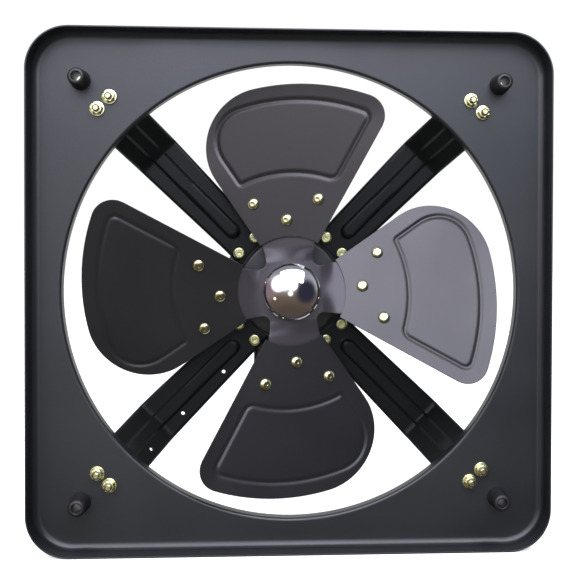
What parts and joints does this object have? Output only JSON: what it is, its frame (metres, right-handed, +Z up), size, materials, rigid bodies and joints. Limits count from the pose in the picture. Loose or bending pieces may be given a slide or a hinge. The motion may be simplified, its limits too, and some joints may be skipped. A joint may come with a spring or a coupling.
{
  "type": "exhaust hood fan",
  "caption": "Square black wall exhaust fan: pressed plate with round opening, riveted blades on a chrome-capped hub, and a motor on diagonal arms behind.",
  "frame": {"origin": "fan axis at the front face of the plate, which is the centre of the four mounting holes", "axes": "+X to the right seen from the front, +Z up, -Y to the front, towards the wall or hood that the rim and grommets rest on; the motor is on the +Y side"},
  "size_m": [0.37, 0.149, 0.37],
  "materials": {
    "black_paint": "semi-gloss black stoved enamel on pressed steel",
    "yellow_zinc": "yellow passivated zinc plating on steel",
    "polished_chrome": "mirror-bright chrome plating",
    "black_rubber": "moulded black rubber, matt",
    "machined_steel": "bright turned and ground steel",
    "lamination_steel": "stacked electrical steel sheet",
    "cast_aluminium": "die-cast aluminium",
    "copper_winding": "varnished enamelled copper wire",
    "black_plastic": "moulded black thermoplastic, fine grain",
    "retainer_plastic": "moulded nylon",
    "white_plastic": "moulded white thermoplastic",
    "brass": "turned brass"
  },
  "bodies": {
    "frame": {"frame_plate": "black_paint", "arm_upper_left": "black_paint", "arm_upper_right": "black_paint", "arm_lower_left": "black_paint", "arm_lower_right": "black_paint", "motor_front_shield": "black_paint", "motor_rear_shield": "black_paint", "motor_shell": "black_paint", "arm_bolts": "yellow_zinc", "arm_washers": "yellow_zinc", "arm_nuts": "yellow_zinc", "motor_screws": "yellow_zinc", "tie_bolts": "yellow_zinc", "mount_grommets": "black_rubber", "box_gasket": "black_rubber", "gland_seal": "black_rubber", "bearing_wave_washer": "machined_steel", "front_bearing_outer_ring": "machined_steel", "rear_bearing_outer_ring": "machined_steel", "box_screws": "machined_steel", "cover_screws": "machined_steel", "stator_core": "lamination_steel", "stator_winding": "copper_winding", "terminal_box": "black_plastic", "box_cover": "black_plastic", "cable_gland": "black_plastic", "gland_locknut": "black_plastic", "gland_cap": "black_plastic", "terminal_block": "white_plastic", "capacitor": "white_plastic", "terminal_screws": "brass"},
    "impeller": {"motor_shaft": "machined_steel", "rotor_core": "lamination_steel", "rotor_end_rings": "cast_aluminium", "front_bearing_inner_ring": "machined_steel", "rear_bearing_inner_ring": "machined_steel", "spider": "black_paint", "hub_bush": "machined_steel", "hub_set_screw": "machined_steel", "hub_washer": "machined_steel", "hub_nut": "machined_steel", "hub_cap": "polished_chrome", "blade_top": "black_paint", "blade_right": "black_paint", "blade_bottom": "black_paint", "blade_left": "black_paint", "blade_rivets": "yellow_zinc"},
    "front_bearing_cage": {"front_bearing_balls": "machined_steel", "front_bearing_retainer": "retainer_plastic"},
    "rear_bearing_cage": {"rear_bearing_balls": "machined_steel", "rear_bearing_retainer": "retainer_plastic"}
  },
  "joints": [
    {"name": "impeller_spin", "type": "hinge", "parent": "frame", "child": "impeller", "pos_m": [0, 0, 0], "axis": [0, 1, 0], "continuous": true},
    {"name": "front_bearing_cage_spin", "type": "hinge", "parent": "frame", "child": "front_bearing_cage", "pos_m": [0, 0.045, 0], "axis": [0, 1, 0], "continuous": true},
    {"name": "rear_bearing_cage_spin", "type": "hinge", "parent": "frame", "child": "rear_bearing_cage", "pos_m": [0, 0.122, 0], "axis": [0, 1, 0], "continuous": true}
  ],
  "couplings": [
    {"joint": "front_bearing_cage_spin", "follows": "impeller_spin", "ratio": 0.36591},
    {"joint": "rear_bearing_cage_spin", "follows": "impeller_spin", "ratio": 0.36591}
  ]
}
